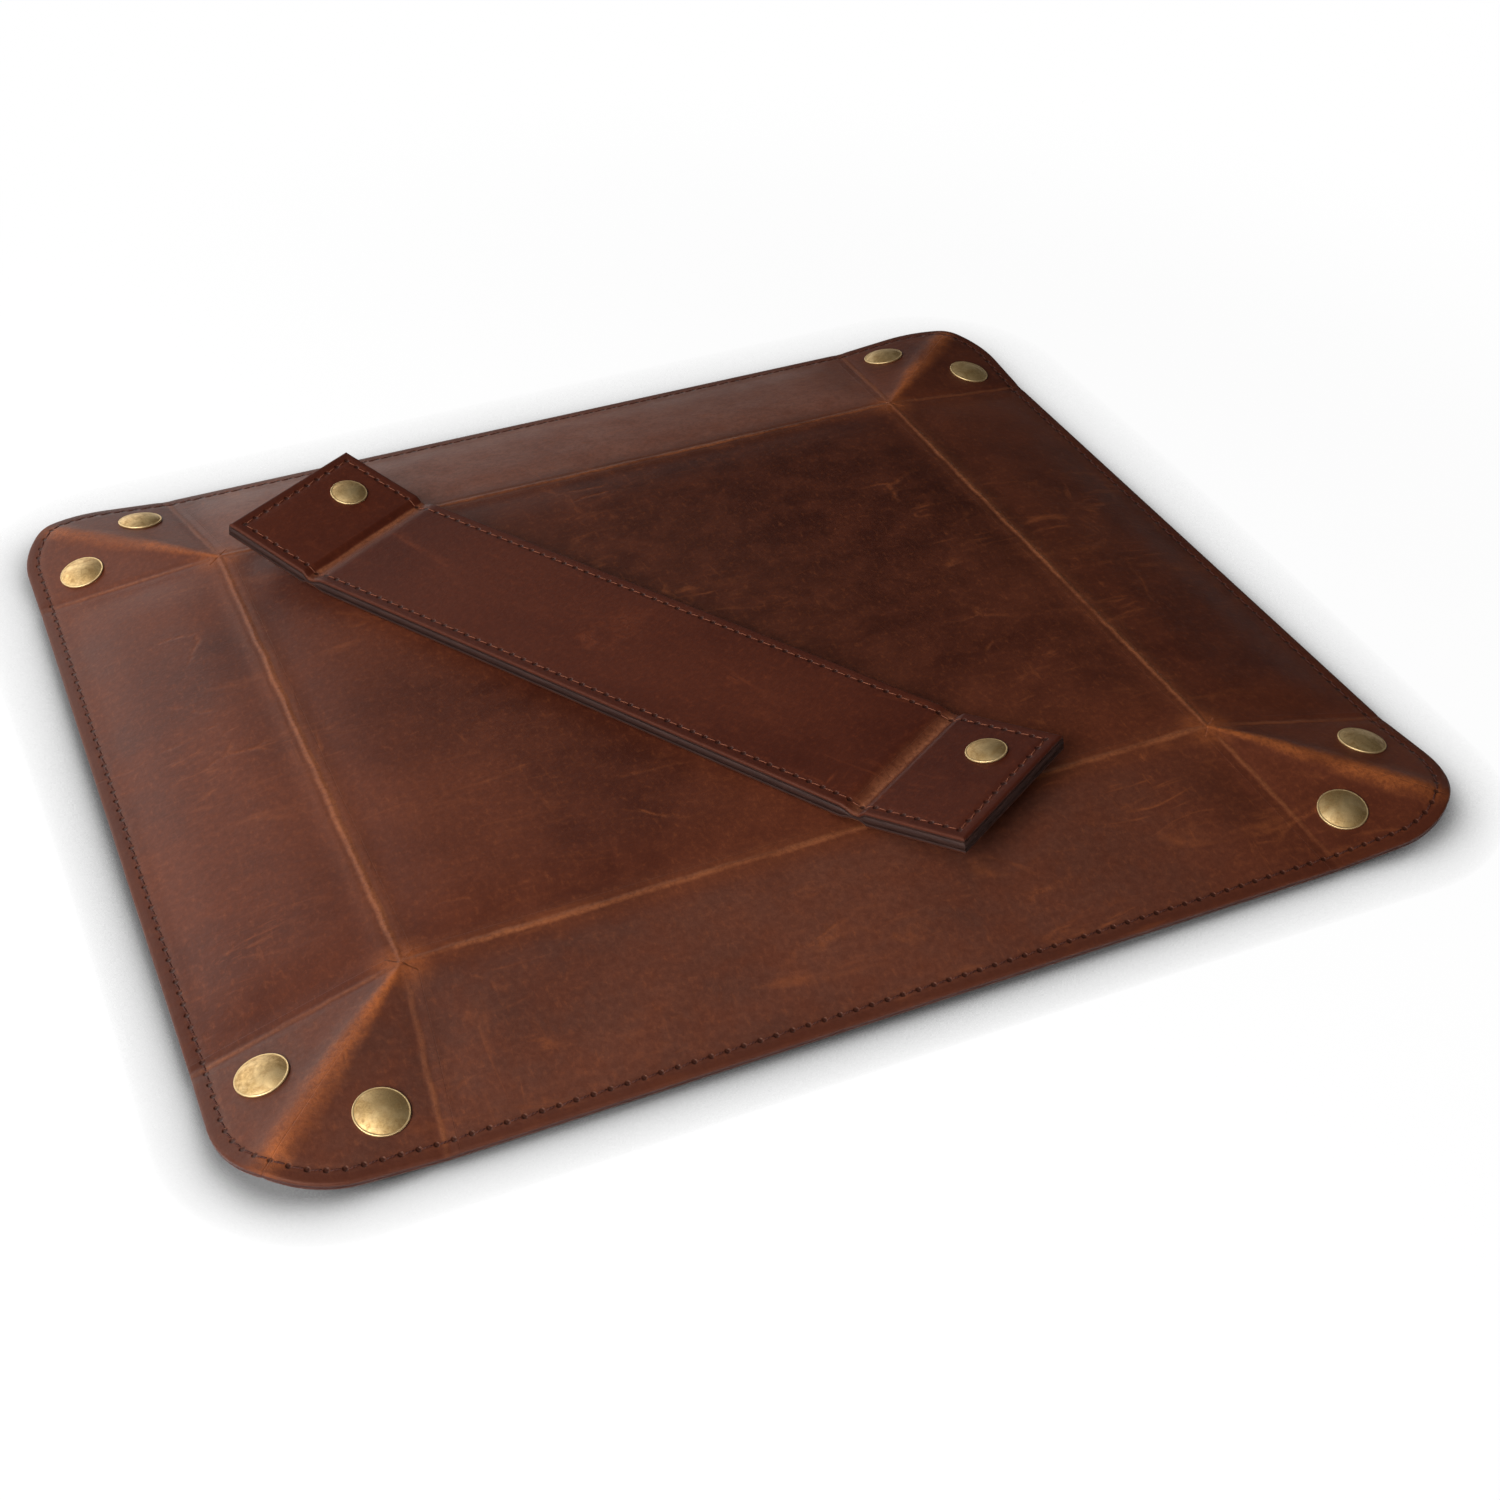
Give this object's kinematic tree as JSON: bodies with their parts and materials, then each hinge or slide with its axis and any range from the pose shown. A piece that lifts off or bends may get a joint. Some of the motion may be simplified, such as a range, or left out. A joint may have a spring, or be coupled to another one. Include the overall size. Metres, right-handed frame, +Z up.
{
  "type": "valet tray",
  "caption": "Leather valet tray with folding walls and snap corners, lying open, with a loose divider strip whose end flaps fold.",
  "frame": {"origin": "on the table under the middle of the open tray", "axes": "+X along the tray's length to the right, -Y to the front, +Z up; the walls lie a little below level around the base"},
  "size_m": [0.3114, 0.2804, 0.0237],
  "materials": {
    "leather_face": "waxed pull-up leather, creased lighter",
    "leather_underside": "smooth waxed leather",
    "stiffener": "raw fibre board",
    "painted_edge": "dark painted edge",
    "antique_brass": "antique brass, dark mottled patina with a rubbed rim"
  },
  "bodies": {
    "tray_base": {"base_skin": "leather_face", "base_lining": "leather_underside", "base_board": "stiffener"},
    "front_wall": {"front_wall_skin": "leather_face", "front_wall_lining": "leather_underside", "front_wall_board": "stiffener"},
    "back_wall": {"back_wall_skin": "leather_face", "back_wall_lining": "leather_underside", "back_wall_board": "stiffener"},
    "left_wall": {"left_wall_skin": "leather_face", "left_wall_lining": "leather_underside", "left_wall_board": "stiffener"},
    "right_wall": {"right_wall_skin": "leather_face", "right_wall_lining": "leather_underside", "right_wall_board": "stiffener"},
    "ear_front_left": {"ear_front_left_skin": "leather_face", "ear_front_left_lining": "leather_underside", "ear_front_left_cap": "antique_brass", "ear_front_left_socket": "antique_brass"},
    "ear_front_right": {"ear_front_right_skin": "leather_face", "ear_front_right_lining": "leather_underside", "ear_front_right_cap": "antique_brass", "ear_front_right_socket": "antique_brass"},
    "ear_back_right": {"ear_back_right_skin": "leather_face", "ear_back_right_lining": "leather_underside", "ear_back_right_cap": "antique_brass", "ear_back_right_socket": "antique_brass"},
    "ear_back_left": {"ear_back_left_skin": "leather_face", "ear_back_left_lining": "leather_underside", "ear_back_left_cap": "antique_brass", "ear_back_left_socket": "antique_brass"},
    "ear_left_back": {"ear_left_back_skin": "leather_face", "ear_left_back_lining": "leather_underside", "ear_left_back_cap": "antique_brass", "ear_left_back_stud": "antique_brass"},
    "ear_left_front": {"ear_left_front_skin": "leather_face", "ear_left_front_lining": "leather_underside", "ear_left_front_cap": "antique_brass", "ear_left_front_stud": "antique_brass"},
    "ear_right_front": {"ear_right_front_skin": "leather_face", "ear_right_front_lining": "leather_underside", "ear_right_front_cap": "antique_brass", "ear_right_front_stud": "antique_brass"},
    "ear_right_back": {"ear_right_back_skin": "leather_face", "ear_right_back_lining": "leather_underside", "ear_right_back_cap": "antique_brass", "ear_right_back_stud": "antique_brass"},
    "divider": {"divider_skin": "leather_face", "divider_lining": "leather_underside", "divider_core": "painted_edge"},
    "back_flap": {"back_flap_skin": "leather_face", "back_flap_lining": "leather_underside", "back_flap_core": "painted_edge", "back_flap_cap": "antique_brass", "back_flap_socket": "antique_brass"},
    "front_flap": {"front_flap_skin": "leather_face", "front_flap_lining": "leather_underside", "front_flap_core": "painted_edge", "front_flap_cap": "antique_brass", "front_flap_socket": "antique_brass"}
  },
  "joints": [
    {"name": "front_wall_fold", "type": "hinge", "parent": "tray_base", "child": "front_wall", "pos_m": [0, -0.0895, 0.0103], "axis": [-1, 0, 0], "range_deg": [0, 75.3]},
    {"name": "back_wall_fold", "type": "hinge", "parent": "tray_base", "child": "back_wall", "pos_m": [0, 0.0895, 0.0103], "axis": [1, 0, 0], "range_deg": [0, 75.3]},
    {"name": "left_wall_fold", "type": "hinge", "parent": "tray_base", "child": "left_wall", "pos_m": [-0.105, 0, 0.0103], "axis": [0, 1, 0], "range_deg": [0, 75.3]},
    {"name": "right_wall_fold", "type": "hinge", "parent": "tray_base", "child": "right_wall", "pos_m": [0.105, 0, 0.0103], "axis": [0, -1, 0], "range_deg": [0, 75.3]},
    {"name": "ear_front_left_fold", "type": "hinge", "parent": "front_wall", "child": "ear_front_left", "pos_m": [-0.105, -0.0895, 0.0103], "axis": [-0.1253, -0.9761, -0.1774], "range_deg": [-110.29, 0]},
    {"name": "ear_front_right_fold", "type": "hinge", "parent": "front_wall", "child": "ear_front_right", "pos_m": [0.105, -0.0895, 0.0103], "axis": [0.1253, -0.9761, -0.1774], "range_deg": [0, 110.29]},
    {"name": "ear_back_right_fold", "type": "hinge", "parent": "back_wall", "child": "ear_back_right", "pos_m": [0.105, 0.0895, 0.0103], "axis": [0.1253, 0.9761, -0.1774], "range_deg": [-110.29, 0]},
    {"name": "ear_back_left_fold", "type": "hinge", "parent": "back_wall", "child": "ear_back_left", "pos_m": [-0.105, 0.0895, 0.0103], "axis": [-0.1253, 0.9761, -0.1774], "range_deg": [0, 110.29]},
    {"name": "ear_left_back_fold", "type": "hinge", "parent": "left_wall", "child": "ear_left_back", "pos_m": [-0.105, 0.0895, 0.0103], "axis": [-0.9761, 0.1253, -0.1774], "range_deg": [-110.29, 0]},
    {"name": "ear_left_front_fold", "type": "hinge", "parent": "left_wall", "child": "ear_left_front", "pos_m": [-0.105, -0.0895, 0.0103], "axis": [-0.9761, -0.1253, -0.1774], "range_deg": [0, 110.29]},
    {"name": "ear_right_front_fold", "type": "hinge", "parent": "right_wall", "child": "ear_right_front", "pos_m": [0.105, -0.0895, 0.0103], "axis": [0.9761, -0.1253, -0.1774], "range_deg": [-110.29, 0]},
    {"name": "ear_right_back_fold", "type": "hinge", "parent": "right_wall", "child": "ear_right_back", "pos_m": [0.105, 0.0895, 0.0103], "axis": [0.9761, 0.1253, -0.1774], "range_deg": [0, 110.29]},
    {"name": "divider_lift", "type": "slide", "parent": "tray_base", "child": "divider", "axis": [0, 0, 1], "range_m": [0, 0.12]},
    {"name": "back_flap_fold", "type": "hinge", "parent": "divider", "child": "back_flap", "pos_m": [-0.06627, 0.07298, 0.01525], "axis": [0.8517, 0.524, 0], "range_deg": [-7, 78]},
    {"name": "front_flap_fold", "type": "hinge", "parent": "divider", "child": "front_flap", "pos_m": [0.02647, -0.07778, 0.01525], "axis": [-0.8517, -0.524, 0], "range_deg": [0, 80]}
  ],
  "couplings": [
    {"joint": "front_wall_fold", "follows": "divider_lift", "rad_per_m": 10.952},
    {"joint": "back_wall_fold", "follows": "divider_lift", "rad_per_m": 10.952},
    {"joint": "left_wall_fold", "follows": "divider_lift", "rad_per_m": 10.952},
    {"joint": "right_wall_fold", "follows": "divider_lift", "rad_per_m": 10.952},
    {"joint": "ear_front_left_fold", "follows": "divider_lift", "rad_per_m": -16.041},
    {"joint": "ear_front_right_fold", "follows": "divider_lift", "rad_per_m": 16.041},
    {"joint": "ear_back_right_fold", "follows": "divider_lift", "rad_per_m": -16.041},
    {"joint": "ear_back_left_fold", "follows": "divider_lift", "rad_per_m": 16.041},
    {"joint": "ear_left_back_fold", "follows": "divider_lift", "rad_per_m": -16.041},
    {"joint": "ear_left_front_fold", "follows": "divider_lift", "rad_per_m": 16.041},
    {"joint": "ear_right_front_fold", "follows": "divider_lift", "rad_per_m": -16.041},
    {"joint": "ear_right_back_fold", "follows": "divider_lift", "rad_per_m": 16.041}
  ]
}
